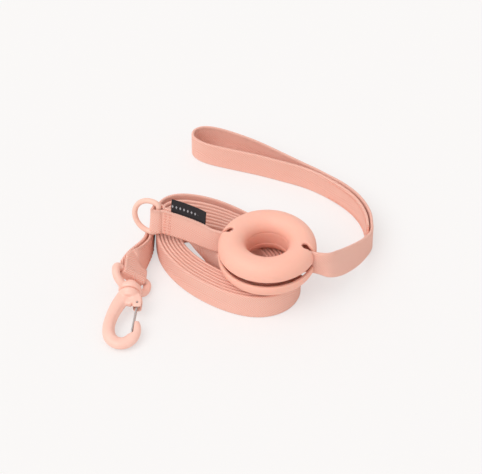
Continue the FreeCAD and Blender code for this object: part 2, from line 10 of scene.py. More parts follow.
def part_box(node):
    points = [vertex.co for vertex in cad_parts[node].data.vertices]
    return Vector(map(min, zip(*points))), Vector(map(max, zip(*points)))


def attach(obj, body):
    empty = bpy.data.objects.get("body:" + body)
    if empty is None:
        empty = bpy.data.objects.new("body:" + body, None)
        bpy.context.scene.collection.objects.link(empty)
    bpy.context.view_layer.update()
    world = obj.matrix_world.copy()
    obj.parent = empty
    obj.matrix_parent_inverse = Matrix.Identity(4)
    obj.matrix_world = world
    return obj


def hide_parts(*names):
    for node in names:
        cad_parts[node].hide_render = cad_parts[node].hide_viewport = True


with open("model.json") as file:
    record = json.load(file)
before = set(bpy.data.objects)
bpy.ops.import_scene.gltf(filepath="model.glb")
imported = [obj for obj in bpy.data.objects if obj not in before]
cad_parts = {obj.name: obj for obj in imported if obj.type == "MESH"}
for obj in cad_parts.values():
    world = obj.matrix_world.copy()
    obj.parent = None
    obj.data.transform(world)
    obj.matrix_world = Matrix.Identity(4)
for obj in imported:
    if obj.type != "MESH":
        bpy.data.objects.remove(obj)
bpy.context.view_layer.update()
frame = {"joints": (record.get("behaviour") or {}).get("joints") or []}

# A webbing dog lead on a silicone ring winder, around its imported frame.
# Metres, +Z up, standing on Z = 0, with the origin under the winder's axis.

MM = 0.001
UP = Vector((0, 0, 1))

WIDTH = 20.0 * MM
THICK = 2.2 * MM
# From the middle of one strap to the middle of the next where two lie face to face.
LAYER = 2.5 * MM
# How much narrower a strap's mesh is than the webbing, so that its wavy edges stay within the width.
LOOSE_YARN = 0.2 * MM
LABEL_THICK = 0.6 * MM
LEAN = math.radians(10)


def joint(name):
    """A joint's entry in the frame."""
    return next(j for j in frame["joints"] if j["name"] == name)


def middle(node):
    """The middle of a CAD node's box."""
    low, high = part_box(node)
    return (low + high) / 2


# ---------------------------------------------------------------- camera, floor and light

AIM = Vector((-0.0186, 0.0548, 0.0))
CAMERA_ELEVATION = math.radians(42)
CAMERA_DISTANCE = 1.48765
CAMERA_LENS = 150
PALE = (0.947, 0.947, 0.947, 1)
SKY = (1.0, 0.985, 0.975, 1)
SKY_STRENGTH = 0.68
SUN_STRENGTH = 1.40
SUN_SOFTNESS = math.radians(50)
SUN_TOWARDS = Vector((0.55, 0.42, -1.0))
FLOOR_HALF = 5.0
FLOOR_COLOUR = (0.93, 0.90, 0.885, 1)
SHADOW_LIFT = 0.55


def make_camera():
    data = bpy.data.cameras.new("camera")
    data.lens = CAMERA_LENS
    data.clip_start = 0.01
    camera = bpy.data.objects.new("camera", data)
    back = Vector((0, -math.cos(CAMERA_ELEVATION), math.sin(CAMERA_ELEVATION)))
    camera.location = AIM + back * CAMERA_DISTANCE
    camera.rotation_euler = (math.pi / 2 - CAMERA_ELEVATION, 0, 0)
    bpy.context.scene.collection.objects.link(camera)
    bpy.context.scene.camera = camera


def seen_directly(tree):
    """1 for camera, glossy and transmission rays, else 0."""
    path = tree.nodes.new("ShaderNodeLightPath")
    total = path.outputs["Is Camera Ray"]
    for name in ("Is Glossy Ray", "Is Transmission Ray"):
        add = tree.nodes.new("ShaderNodeMath")
        add.operation = "MAXIMUM"
        tree.links.new(total, add.inputs[0])
        tree.links.new(path.outputs[name], add.inputs[1])
        total = add.outputs[0]
    return total


def make_world():
    world = bpy.data.worlds.new("studio")
    world.use_nodes = True
    tree = world.node_tree
    background = tree.nodes["Background"]
    background.inputs["Color"].default_value = SKY
    background.inputs["Strength"].default_value = SKY_STRENGTH
    backdrop = tree.nodes.new("ShaderNodeBackground")
    backdrop.inputs["Color"].default_value = PALE
    mix = tree.nodes.new("ShaderNodeMixShader")
    tree.links.new(seen_directly(tree), mix.inputs[0])
    tree.links.new(background.outputs[0], mix.inputs[1])
    tree.links.new(backdrop.outputs[0], mix.inputs[2])
    tree.links.new(mix.outputs[0], tree.nodes["World Output"].inputs[0])
    bpy.context.scene.world = world


def make_sun():
    data = bpy.data.lights.new("soft_lamp", "SUN")
    data.energy = SUN_STRENGTH
    data.angle = SUN_SOFTNESS
    sun = bpy.data.objects.new("soft_lamp", data)
    sun.rotation_euler = SUN_TOWARDS.to_track_quat("-Z", "Y").to_euler()
    bpy.context.scene.collection.objects.link(sun)


def make_floor():
    """A pale sheet whose shadows are lightened where it is looked at."""
    corners = [(FLOOR_HALF * x, FLOOR_HALF * y, 0) for x, y in ((-1, -1), (1, -1), (1, 1), (-1, 1))]
    mesh = bpy.data.meshes.new("floor")
    mesh.from_pydata(corners, [], [(0, 1, 2, 3)])
    floor = bpy.data.objects.new("floor", mesh)
    bpy.context.scene.collection.objects.link(floor)
    look = bpy.data.materials.new("pale_floor")
    look.use_nodes = True
    tree = look.node_tree
    tree.nodes.clear()
    paper = tree.nodes.new("ShaderNodeBsdfDiffuse")
    paper.inputs["Color"].default_value = FLOOR_COLOUR
    glow = tree.nodes.new("ShaderNodeEmission")
    glow.inputs["Color"].default_value = PALE
    lift = tree.nodes.new("ShaderNodeMath")
    lift.operation = "MULTIPLY"
    lift.inputs[1].default_value = SHADOW_LIFT
    tree.links.new(seen_directly(tree), lift.inputs[0])
    mix = tree.nodes.new("ShaderNodeMixShader")
    tree.links.new(lift.outputs[0], mix.inputs[0])
    tree.links.new(paper.outputs[0], mix.inputs[1])
    tree.links.new(glow.outputs[0], mix.inputs[2])
    output = tree.nodes.new("ShaderNodeOutputMaterial")
    tree.links.new(mix.outputs[0], output.inputs[0])
    mesh.materials.append(look)


bpy.context.scene.view_settings.view_transform = "Standard"
make_camera()
make_world()
make_sun()
make_floor()


# ---------------------------------------------------------------- materials

class Look:
    """A node material, with short ways to add maths and textures to it."""

    def __init__(self, name, roughness, sheen=0.0, metallic=0.0):
        self.material = bpy.data.materials.new(name)
        self.material.use_nodes = True
        self.tree = self.material.node_tree
        self.shader = self.tree.nodes["Principled BSDF"]
        self.shader.inputs["Roughness"].default_value = roughness
        self.shader.inputs["Sheen Weight"].default_value = sheen
        self.shader.inputs["Metallic"].default_value = metallic

    def feed(self, socket, value):
        if isinstance(value, bpy.types.NodeSocket):
            self.tree.links.new(value, socket)
        else:
            socket.default_value = value

    def math(self, operation, *values):
        node = self.tree.nodes.new("ShaderNodeMath")
        node.operation = operation
        for socket, value in zip(node.inputs, values):
            self.feed(socket, value)
        return node.outputs[0]

    def place(self, uv=False):
        """Coordinates in metres: on the object, or along and round a strap."""
        node = self.tree.nodes.new("ShaderNodeUVMap" if uv else "ShaderNodeTexCoord")
        if uv:
            node.uv_map = "weave"
            return node.outputs[0]
        return node.outputs["Object"]

    def split(self, vector):
        node = self.tree.nodes.new("ShaderNodeSeparateXYZ")
        self.feed(node.inputs[0], vector)
        return node.outputs

    def noise(self, vector, per_metre, detail=2.0):
        node = self.tree.nodes.new("ShaderNodeTexNoise")
        self.feed(node.inputs["Vector"], vector)
        node.inputs["Scale"].default_value = per_metre
        node.inputs["Detail"].default_value = detail
        return node.outputs["Fac"]

    def spread(self, value, low, high, to_low=0.0, to_high=1.0):
        node = self.tree.nodes.new("ShaderNodeMapRange")
        for socket, number in zip(node.inputs, (value, low, high, to_low, to_high)):
            self.feed(socket, number)
        return node.outputs[0]

    def mix(self, share, first, second):
        node = self.tree.nodes.new("ShaderNodeMix")
        node.data_type = "RGBA"
        self.feed(node.inputs["Factor"], share)
        self.feed(node.inputs[6], first)
        self.feed(node.inputs[7], second)
        return node.outputs[2]

    def colour(self, value):
        self.feed(self.shader.inputs["Base Color"], value)

    def rough(self, marks, smoothest, roughest):
        """Roughness that follows the middle range of a noise."""
        self.feed(self.shader.inputs["Roughness"], self.spread(marks, 0.3, 0.7, smoothest, roughest))

    def wave(self, value, pitch):
        """Rounded ridges, from 0 between them to 1 on top, one for each pitch."""
        return self.math("ABSOLUTE", self.math("SINE", self.math("DIVIDE", value, pitch / math.pi)))

    def bump(self, height, distance):
        node = self.tree.nodes.new("ShaderNodeBump")
        node.inputs["Strength"].default_value = 1.0
        node.inputs["Distance"].default_value = distance
        self.feed(node.inputs["Height"], height)
        self.feed(self.shader.inputs["Normal"], node.outputs[0])


# A strap's second coordinate runs round it: one face, an edge, the other face, an edge.
HALF_ROUND = WIDTH + THICK
RIB_PITCH = 1.7 * MM
CHEVRON = 5.0 * MM
YARN_PITCH = 0.8 * MM
EDGE_LOOP_PITCH = 0.85 * MM
WEAVE_DEPTH = 0.34 * MM


def webbing_look():
    """Herringbone twill: raised diagonal ribs that turn at each chevron, with painted shade between them and
    between the yarn loops along the edges.
    """
    look = Look("webbing", roughness=0.82, sheen=0.12)
    look.shader.inputs["Sheen Roughness"].default_value = 0.5
    look.shader.inputs["Sheen Tint"].default_value = (1.0, 0.86, 0.8, 1)
    look.shader.inputs["Specular IOR Level"].default_value = 0.25
    along, round_it, _ = look.split(look.place(uv=True))
    across = look.math("MODULO", round_it, HALF_ROUND)
    fold = look.math("PINGPONG", across, CHEVRON)
    edge = look.math("GREATER_THAN", across, WIDTH)
    rib = look.wave(look.math("ADD", along, fold), RIB_PITCH)
    yarn = look.wave(look.math("SUBTRACT", fold, along), YARN_PITCH)
    loops = look.wave(along, EDGE_LOOP_PITCH)
    face_height = look.math("ADD", look.math("MULTIPLY", rib, 0.8), look.math("MULTIPLY", yarn, 0.2))
    face_height = look.math("MULTIPLY", face_height, look.math("SUBTRACT", 1.0, edge))
    height = look.math("ADD", face_height, look.math("MULTIPLY", loops, edge))
    fuzz = look.noise(look.place(), 3800, 3.0)
    patch = look.noise(look.place(), 45, 2.0)
    # The deep colour below is painted shade where the weave's height is low. The fuzz and the patches are the
    # yarn's own uneven tone.
    shade = look.math("MULTIPLY_ADD", fuzz, 0.45, look.spread(height, 0.15, 0.75))
    shade = look.math("SUBTRACT", shade, 0.2)
    pale = look.mix(patch, (0.990, 0.655, 0.560, 1), (0.980, 0.605, 0.505, 1))
    look.colour(look.mix(look.spread(shade, 0.0, 1.0), (0.96, 0.340, 0.220, 1), pale))
    look.bump(look.math("MULTIPLY_ADD", fuzz, 0.25, height), WEAVE_DEPTH)
    return look.material


def silicone_look():
    """Matt moulded silicone: a soft bloom, faint flow marks and a very fine grain."""
    look = Look("silicone", roughness=0.52)
    look.shader.inputs["Specular IOR Level"].default_value = 0.42
    look.shader.inputs["Subsurface Weight"].default_value = 0.10
    look.shader.inputs["Subsurface Radius"].default_value = (1.0, 0.30, 0.16)
    look.shader.inputs["Subsurface Scale"].default_value = 1.5 * MM
    flow = look.noise(look.place(), 26, 3.0)
    look.colour(look.mix(flow, (0.990, 0.525, 0.410, 1), (0.975, 0.495, 0.380, 1)))
    look.rough(look.noise(look.place(), 60), 0.46, 0.60)
    look.bump(look.noise(look.place(), 2600, 2.0), 0.02 * MM)
    return look.material


def plastic_look(name, pale, deep, roughness):
    """Dyed moulded plastic with a fine sparked surface and handling marks."""
    look = Look(name, roughness=roughness)
    wear = look.noise(look.place(), 140, 4.0)
    look.colour(look.mix(look.spread(wear, 0.35, 0.7), pale, deep))
    look.rough(wear, roughness - 0.06, roughness + 0.08)
    look.bump(look.noise(look.place(), 3200, 1.0), 0.015 * MM)
    return look.material


def steel_look():
    """Drawn spring wire with fine scratches."""
    look = Look("steel", roughness=0.3, metallic=1.0)
    scratches = look.noise(look.place(), 1900, 3.0)
    look.colour(look.mix(scratches, (0.62, 0.58, 0.56, 1), (0.42, 0.39, 0.38, 1)))
    look.rough(scratches, 0.22, 0.4)
    look.bump(scratches, 0.01 * MM)
    return look.material


def thread_look():
    """Sewing thread, a deeper tone than the webbing."""
    look = Look("thread", roughness=0.6, sheen=0.2)
    strands = look.noise(look.place(), 5200, 2.0)
    look.colour(look.mix(strands, (0.93, 0.46, 0.36, 1), (0.82, 0.32, 0.22, 1)))
    look.bump(strands, 0.08 * MM)
    return look.material


MARK_PITCH = 3.0 * MM
MARK_HALF_WIDTH = 0.75 * MM
MARK_HALF_HEIGHT = 1.3 * MM
LABEL_HEIGHT = 12.0 * MM
LABEL_LENGTH = 28.0 * MM
WEFT_PITCH = 0.28 * MM
WARP_PITCH = 0.4 * MM


def label_look():
    """Black damask weave with a plain row of pale diamonds on its front."""
    look = Look("label_weave", roughness=0.85)
    along, round_it, _ = look.split(look.place(uv=True))
    cell = look.math("PINGPONG", along, MARK_PITCH / 2)
    sideways = look.math("DIVIDE", cell, MARK_HALF_WIDTH)
    upward = look.math("ABSOLUTE", look.math("SUBTRACT", round_it, LABEL_HEIGHT * 0.5))
    diamond = look.math("ADD", sideways, look.math("DIVIDE", upward, MARK_HALF_HEIGHT))
    mark = look.math("LESS_THAN", diamond, 1.0)
    after = look.math("GREATER_THAN", along, MARK_PITCH * 0.5)
    before = look.math("LESS_THAN", along, LABEL_LENGTH - MARK_PITCH * 0.5)
    mark = look.math("MULTIPLY", mark, look.math("MULTIPLY", after, before))
    weave = look.math("MULTIPLY", look.wave(round_it, WEFT_PITCH), look.wave(along, WARP_PITCH))
    black = look.mix(weave, (0.010, 0.008, 0.010, 1), (0.028, 0.024, 0.028, 1))
    look.colour(look.mix(mark, black, (0.42, 0.42, 0.45, 1)))
    look.bump(look.math("MULTIPLY_ADD", mark, 0.6, weave), 0.08 * MM)
    return look.material


WEBBING = webbing_look()
SILICONE = silicone_look()
HOOK_PLASTIC = plastic_look("hook_plastic", (0.975, 0.610, 0.510, 1), (0.955, 0.560, 0.460, 1), 0.40)
RING_COATING = plastic_look("ring_coating", (0.950, 0.610, 0.500, 1), (0.920, 0.570, 0.460, 1), 0.46)
STEEL = steel_look()
THREAD = thread_look()
LABEL = label_look()


# ---------------------------------------------------------------- straps

def nurbs_line(points, fineness=28):
    """Points along the NURBS curve of these control points."""
    data = bpy.data.curves.new("route", "CURVE")
    data.dimensions = "3D"
    data.resolution_u = fineness
    spline = data.splines.new("NURBS")
    spline.points.add(len(points) - 1)
    for place, point in zip(spline.points, points):
        place.co = (*point, 1.0)
    spline.order_u = 3
    spline.use_endpoint_u = True
    holder = bpy.data.objects.new("route", data)
    mesh = bpy.data.meshes.new_from_object(holder)
    line = np.array([vertex.co for vertex in mesh.vertices], float)
    bpy.data.objects.remove(holder)
    bpy.data.curves.remove(data)
    bpy.data.meshes.remove(mesh)
    return line


def unit(rows):
    return rows / np.linalg.norm(rows, axis=1, keepdims=True)


class Strap:
    """A strap's centre line and width direction, each from its own control points."""

    def __init__(self, points, ups):
        self.line = nurbs_line(points)
        self.ups = nurbs_line(ups)
        steps = np.linalg.norm(np.diff(self.line, axis=0), axis=1)
        self.distance = np.concatenate([[0.0], np.cumsum(steps)])
        self.length = float(self.distance[-1])
        self.along = unit(np.gradient(self.line, self.distance, axis=0))

    def at(self, rows, where):
        return np.stack([np.interp(where, self.distance, rows[:, k]) for k in range(3)], axis=1)

    def frames(self, where):
        """Points, directions, width directions and face normals at these distances."""
        where = np.atleast_1d(where)
        along = unit(self.at(self.along, where))
        ups = self.at(self.ups, where)
        across = unit(ups - along * (ups * along).sum(1, keepdims=True))
        return self.at(self.line, where), along, across, np.cross(along, across)

    def path(self, start, end):
        where = np.linspace(start, end, max(8, int((end - start) / (2 * MM))))
        return [tuple(point) for point in self.at(self.line, where)]


def section(width, thick, cells, edge_cells=4):
    """A strap's cross-section with rounded edges: places across and through it, and distance round."""
    radius = thick / 2
    flat = width - thick
    outline = []
    for k in range(cells + 1):
        outline.append((-flat / 2 + flat * k / cells, radius, 0))
    for k in range(1, edge_cells):
        turn = math.pi * k / edge_cells
        outline.append((flat / 2 + radius * math.sin(turn), radius * math.cos(turn), 1))
    for k in range(cells + 1):
        outline.append((flat / 2 - flat * k / cells, -radius, 0))
    for k in range(1, edge_cells):
        turn = math.pi * k / edge_cells
        outline.append((-flat / 2 - radius * math.sin(turn), -radius * math.cos(turn), 1))
    return np.array(outline)


def make_object(name, vertices, faces, material, uv=None):
    mesh = bpy.data.meshes.new(name)
    mesh.from_pydata([tuple(v) for v in vertices], [], faces)
    if uv is not None:
        layer = mesh.uv_layers.new(name="weave")
        layer.data.foreach_set("uv", np.asarray(uv, np.float32).ravel())
    mesh.polygons.foreach_set("use_smooth", [True] * len(mesh.polygons))
    mesh.materials.append(material)
    obj = bpy.data.objects.new(name, mesh)
    bpy.context.scene.collection.objects.link(obj)
    return obj


WAVE = 2.3 * MM
DRIFT = 31 * MM
SHORT_DRIFT = 13.7 * MM


def ribbon(name, strap, material, start=0.0, end=None, step=0.5 * MM, cells=20, width=WIDTH - LOOSE_YARN,
           thick=THICK, offset=0.0, across_at=0.0, selvedge=0.10 * MM, ripple=0.06 * MM):
    """A woven strap along a route as one closed mesh, with wavy selvedges and slightly uneven faces."""
    end = strap.length if end is None else end
    count = max(4, round((end - start) / step)) + 1
    where = np.linspace(start, end, count)
    points, along, across, normal = strap.frames(where)
    outline = section(width, thick, cells)
    round_it = np.concatenate([[0.0], np.cumsum(np.linalg.norm(np.diff(outline[:, :2], axis=0), axis=1))])
    full_round = round_it[-1] + np.linalg.norm(outline[0, :2] - outline[-1, :2])
    size = len(outline)
    wave = np.sin(where * 2 * math.pi / WAVE)
    drift = np.sin(where * 2 * math.pi / DRIFT) + 0.6 * np.sin(where * 2 * math.pi / SHORT_DRIFT + 1.0)
    vertices = np.zeros((count, size, 3))
    for k, (side, high, is_edge) in enumerate(outline):
        reach = side + math.copysign(1, side) * is_edge * selvedge * wave
        lift = high + ripple * drift * math.cos(side / width * 4.0)
        vertices[:, k] = points + across * (across_at + reach)[:, None] + normal * (offset + lift)[:, None]
    faces, uv = [], []
    for ring in range(count - 1):
        here, ahead = ring * size, (ring + 1) * size
        for k in range(size):
            after = (k + 1) % size
            faces.append((here + k, here + after, ahead + after, ahead + k))
            near = round_it[k]
            far = round_it[after] if after else full_round
            uv += [(where[ring], near), (where[ring], far), (where[ring + 1], far), (where[ring + 1], near)]
    for ring, order in ((0, range(size - 1, -1, -1)), (count - 1, range(size))):
        faces.append(tuple(ring * size + k for k in order))
        uv += [(where[ring], outline[k, 0] + width / 2) for k in order]
    return make_object(name, vertices.reshape(-1, 3), faces, material, uv)


def threads(name, strap, spans, length=2.7 * MM, pitch=3.6 * MM, radius=0.30 * MM):
    """Rows of short thread stitches: each rises from the strap's face, lies along it and dips back."""
    vertices, faces = [], []
    sides, rings = 8, 7
    for start, end, across_at, side in spans:
        for k in range(int((end - start) / pitch)):
            where = start + (k + 0.5) * pitch
            arch = np.linspace(-0.5, 0.5, rings)
            points, along, across, normal = strap.frames(where + arch * length)
            for ring in range(rings):
                height = side * (THICK / 2 + radius * (1.3 - 2.6 * (2 * arch[ring]) ** 4))
                sideways = across_at + radius * 0.5 * arch[ring]
                centre = points[ring] + across[ring] * sideways + normal[ring] * height
                for s in range(sides):
                    turn = 2 * math.pi * s / sides
                    spoke = across[ring] * math.cos(turn) + normal[ring] * math.sin(turn)
                    vertices.append(centre + spoke * radius)
            first = len(vertices) - rings * sides
            for ring in range(rings - 1):
                for s in range(sides):
                    a, b = first + ring * sides + s, first + ring * sides + (s + 1) % sides
                    faces.append((a, b, b + sides, a + sides))
            faces.append(tuple(range(first + sides - 1, first - 1, -1)))
            faces.append(tuple(range(len(vertices) - sides, len(vertices))))
    return make_object(name, vertices, faces, THREAD)


def finish_piece(obj, body, slot, *nodes):
    """Ties a piece to the body it rides and hides the CAD nodes it stands for; its material slot is not used.
    """
    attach(obj, body)
    if nodes:
        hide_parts(*nodes)
    return obj


def heading(degrees):
    return Vector((math.cos(math.radians(degrees)), math.sin(math.radians(degrees)), 0))


def leaning(degrees_heading, lean):
    """Width direction of a strap that runs along a heading and leans back from it."""
    away = UP.cross(heading(degrees_heading))
    return UP * math.cos(lean) + away * math.sin(lean)


# ---- the winder's slots, which both straps leave through

SLOT_HEADING = -18
WINDER = middle("winder_hub")
slot_line = heading(SLOT_HEADING)
WINDING_RADIUS = 26.6 * MM


def at_slot(radius, side):
    """A point on the slots' line, so far from the winder's axis; side is 1 for the handle's slot."""
    return WINDER + slot_line * (side * radius)


# ---- handle run, hand loop and its sewn-down tail: one length of webbing

RUN_LEAN = UP.cross(heading(50)) * 0.25
HANDLE_POINTS = [
    at_slot(WINDING_RADIUS, 1), at_slot(0.032, 1), at_slot(0.038, 1),
    (0.0435, -0.0115, 0.0335), (0.0500, -0.0055, 0.0290), (0.0560, 0.0025, 0.0245),
    (0.0622, 0.0115, 0.0203), (0.0680, 0.0210, 0.0160), (0.0733, 0.0315, 0.0123),
    (0.0772, 0.0415, 0.0100), (0.0772, 0.0505, 0.0100),
]
# How much of the run's lean the strap has at each of these points.
HANDLE_LEANS = [0, 0, 0, 0.6, 1, 1, 0.7, 0.3, 0, 0, 0]
LOOP_PLAN = [
    (0.0770, 0.0595), (0.0741, 0.0698), (0.0693, 0.0798), (0.0629, 0.0884), (0.0554, 0.0960),
    (0.0468, 0.1030), (0.0385, 0.1099), (0.0290, 0.1166), (0.0180, 0.1250), (0.0070, 0.1332),
    (-0.0060, 0.1429), (-0.0180, 0.1499), (-0.0310, 0.1567), (-0.0410, 0.1604), (-0.0495, 0.1608),
    (-0.0553, 0.1565), (-0.0559, 0.1496), (-0.0513, 0.1437), (-0.0440, 0.1392), (-0.0335, 0.1352),
    (-0.0220, 0.1314), (-0.0110, 0.1279), (0.0010, 0.1234), (0.0120, 0.1189), (0.0230, 0.1144),
    (0.0320, 0.1098), (0.0395, 0.1050), (0.0456, 0.1002),
]
TAIL_PLAN = [
    (0.0532, 0.0935), (0.0605, 0.0858), (0.0665, 0.0774), (0.0708, 0.0684), (0.0736, 0.0588),
    (0.0743, 0.0505), (0.0743, 0.0460),
]
hand_points = [Vector(p) for p in HANDLE_POINTS]
hand_points += [Vector((x, y, WIDTH / 2)) for x, y in LOOP_PLAN + TAIL_PLAN]
hand_ups = [UP + RUN_LEAN * lean for lean in HANDLE_LEANS]
hand_ups += [UP] * (len(LOOP_PLAN) + len(TAIL_PLAN))
hand = Strap(hand_points, hand_ups)
TAIL_LENGTH = 0.0637
STITCH_ROW = 7.5 * MM
loop_end = hand.length - TAIL_LENGTH

hand_strap = ribbon("hand_strap", hand, WEBBING, end=loop_end)
finish_piece(hand_strap, "leash", "webbing", "strap_handle_run", "strap_hand_loop")
loop_tail = ribbon("loop_tail", hand, WEBBING, start=loop_end)
finish_piece(loop_tail, "leash", "webbing", "strap_loop_tail")
loop_rows = [(loop_end + 0.002, hand.length - 0.003, row, 1) for row in (-STITCH_ROW, STITCH_ROW)]
finish_piece(threads("loop_threads", hand, loop_rows), "leash", "thread", "loop_stitching")


# ---- strap end on the hook's eye

eye_pivot = joint("eye_pivot")
hook_swivel = joint("hook_swivel")
BAR = Vector(eye_pivot["pos_m"])
COLLAR = Vector(hook_swivel["pos_m"])
HOOK_Y = Vector(hook_swivel["axis"]).normalized()
eye_x = -Vector(eye_pivot["axis"]).normalized()
eye_y = HOOK_Y
eye_z = eye_x.cross(eye_y).normalized()
BAR_RADIUS = 2.5 * MM
BAR_CLEARANCE = 0.3 * MM
WRAP = BAR_RADIUS + BAR_CLEARANCE + THICK / 2

HOOK_POINTS = [
    (-0.0833, 0.0560, 0.0100), (-0.0834, 0.0460, 0.0100), (-0.0839, 0.0380, 0.0100),
    (-0.0854, 0.0300, 0.0100), (-0.0882, 0.0215, 0.0116), (-0.0916, 0.0125, 0.0142),
    BAR + eye_y * 0.009 + eye_z * (WRAP - 0.0006), BAR + eye_y * 0.0035 + eye_z * WRAP, BAR + eye_z * WRAP,
]
hook_ups = [UP] * 4 + [UP * 0.95 - eye_x * 0.25, UP * 0.6 - eye_x * 0.6] + [-eye_x] * 3
hook_run = Strap([Vector(p) for p in HOOK_POINTS], hook_ups)
hook_strap = ribbon("hook_strap", hook_run, WEBBING, selvedge=0.05 * MM, ripple=0.02 * MM)
finish_piece(hook_strap, "leash", "webbing", "strap_hook_run")


def under_run(from_end, gap):
    """A point under the hook run, so far back from its end, and the run's width direction there."""
    point, _, across, normal = (rows[0] for rows in hook_run.frames(hook_run.length - from_end))
    return Vector(point + normal * gap), Vector(across)


# How far back from the run's end, and how far the tail stands off the run there, in millimetres.
TAIL_UNDER_RUN = [(9.0, 2.3), (15.0, 2.8), (23.0, 2.1), (31.0, 1.2), (39.0, 0.7), (45.0, 0.5)]
under = [under_run(back * MM, LAYER + slack * MM) for back, slack in TAIL_UNDER_RUN]
wrap_turn = [(0, 1), (-1, 1), (-1, 0), (-1, -1), (0, -1)]
wrap_points = [BAR + eye_y * (WRAP * y) + eye_z * (WRAP * z) for y, z in wrap_turn]
wrap_points += [BAR + eye_y * 0.004 - eye_z * WRAP] + [point for point, _ in under]
wrap = Strap(wrap_points, [-eye_x] * 6 + [across for _, across in under])
hook_strap_fold = ribbon("hook_strap_fold", wrap, WEBBING)
finish_piece(hook_strap_fold, "leash", "webbing", "strap_hook_fold")
# How far before the end of the hook run its stitching starts and stops.
STITCHED_FROM = 0.044
STITCHED_TO = 0.018
stitched = (hook_run.length - STITCHED_FROM, hook_run.length - STITCHED_TO)
hook_rows = [(*stitched, row, -1) for row in (-STITCH_ROW, STITCH_ROW)]
finish_piece(threads("hook_strap_threads", hook_run, hook_rows), "leash", "thread", "hook_end_stitching")


# ---- strap from the winder, round the ring and down into the coil

RING = middle("d_ring")
RING_BAR = 5.8 * MM
RING_WIRE = 2.0 * MM
FOLD_SLACK = 0.4 * MM
FOLD_PAST_BAR = 5.1 * MM
fold_up = Vector(joint("ring_swing")["axis"]).normalized()
fold_along = heading(-24)
fold_back = UP.cross(fold_along)
TURN = RING_WIRE + LAYER - THICK / 2 + FOLD_SLACK
DEPTH = RING_BAR + FOLD_PAST_BAR
SEAM = (LAYER + LABEL_THICK) / 2


def in_fold(along, back):
    """A point so far from the ring's middle along the strap and behind it."""
    return RING + fold_along * along + fold_back * back


FRONT_POINTS = [
    in_fold(DEPTH + 0.005, -SEAM), in_fold(DEPTH + 0.0145, -SEAM), (-0.0475, 0.0190, 0.0349),
    at_slot(0.042, -1), at_slot(0.034, -1), at_slot(WINDING_RADIUS, -1),
]
FRONT_UPS = [fold_up, fold_up, leaning(-28, LEAN * 0.8), leaning(-18, math.radians(2)), UP, UP]
FOLD_POINTS = [
    (DEPTH, -SEAM), (DEPTH - 0.0012, -SEAM), (DEPTH - 0.0026, -TURN + 0.0005), (RING_BAR, -TURN - 0.0001),
    (RING_BAR - TURN, -TURN), (RING_BAR - TURN, 0), (RING_BAR - TURN, TURN),
    (RING_BAR, TURN + 0.0001), (DEPTH - 0.0026, TURN - 0.0005), (DEPTH - 0.0012, SEAM), (DEPTH, SEAM),
]
REAR_POINTS = [
    in_fold(DEPTH + 0.005, SEAM), in_fold(DEPTH + 0.0145, SEAM), (-0.0485, 0.0230, 0.0295),
    (-0.0413, 0.0184, 0.0180), (-0.0350, 0.0106, 0.0100), (-0.0260, 0.0018, 0.0100),
    (-0.0160, -0.0034, 0.0100), (-0.0084, -0.0059, 0.0100),
]
REAR_UPS = [fold_up, fold_up, leaning(-28, LEAN), leaning(-40, math.radians(5)), UP, UP, UP, UP]
ring_points = FRONT_POINTS[::-1] + [in_fold(a, b) for a, b in FOLD_POINTS] + REAR_POINTS
ring_ups = FRONT_UPS[::-1] + [fold_up] * len(FOLD_POINTS) + REAR_UPS
ring_run = Strap([Vector(p) for p in ring_points], ring_ups)
ring_strap = ribbon("ring_strap", ring_run, WEBBING)
finish_piece(ring_strap, "leash", "webbing", "strap_ring_run", "strap_ring_fold", "strap_rise")

front = Strap([in_fold(DEPTH, -SEAM)] + [Vector(p) for p in FRONT_POINTS], [fold_up] + FRONT_UPS)
BAR_TACK_LENGTH = 0.0075
bar_tack = [(0.0, BAR_TACK_LENGTH, row * MM, 1) for row in (-8.4, -6, -3.6, -1.2, 1.2, 3.6, 6, 8.4)]
ring_threads = threads("ring_strap_threads", front, bar_tack)
finish_piece(ring_threads, "leash", "thread", "ring_stitching")

LABEL_STAND_UP = 10 * MM
label_middle = WIDTH / 2 + LABEL_STAND_UP - LABEL_HEIGHT / 2
LABEL_SETBACK = 4.9 * MM
label_tab = ribbon(
    "label_tab", front, LABEL, start=LABEL_SETBACK, end=LABEL_SETBACK + LABEL_LENGTH, width=LABEL_HEIGHT,
    thick=LABEL_THICK, offset=-SEAM, across_at=label_middle, selvedge=0.04 * MM,
)
finish_piece(label_tab, "leash", "label", "woven_label")


# ---- the coil on the floor

# Matching points of the outermost and innermost turns, from the left, along the front, and round.
OUTER_TURN = [
    (-0.0795, 0.0370), (-0.0757, 0.0222), (-0.0657, 0.0055), (-0.0510, -0.0100), (-0.0310, -0.0236),
    (-0.0118, -0.0305), (0.0037, -0.0293), (0.0158, -0.0220), (0.0230, -0.0098), (0.0234, 0.0050),
    (0.0175, 0.0228), (0.0075, 0.0396), (-0.0055, 0.0526), (-0.0184, 0.0630), (-0.0346, 0.0734),
    (-0.0500, 0.0794), (-0.0643, 0.0814), (-0.0746, 0.0765), (-0.0800, 0.0658), (-0.0811, 0.0520),
]
INNER_TURN = [
    (-0.0620, 0.0382), (-0.0589, 0.0276), (-0.0524, 0.0176), (-0.0434, 0.0082), (-0.0286, -0.0036),
    (-0.0134, -0.0089), (-0.0052, -0.0084), (-0.0004, -0.0056), (0.0016, -0.0016), (0.0026, 0.0045),
    (0.0004, 0.0128), (-0.0064, 0.0228), (-0.0148, 0.0323), (-0.0247, 0.0395), (-0.0353, 0.0446),
    (-0.0460, 0.0481), (-0.0535, 0.0494), (-0.0588, 0.0481), (-0.0616, 0.0464), (-0.0626, 0.0425),
]
# Where the strap from the ring joins the innermost turn.
COIL_INSIDE = [(-0.0084, -0.0059), (-0.0064, -0.0078), (-0.0030, -0.0074)]
LAYERS = 7
# The first point that the innermost turn takes, and the one past which each turn steps out by a layer.
STARTS_AT = 8
STEPS_OUT_AT = 16
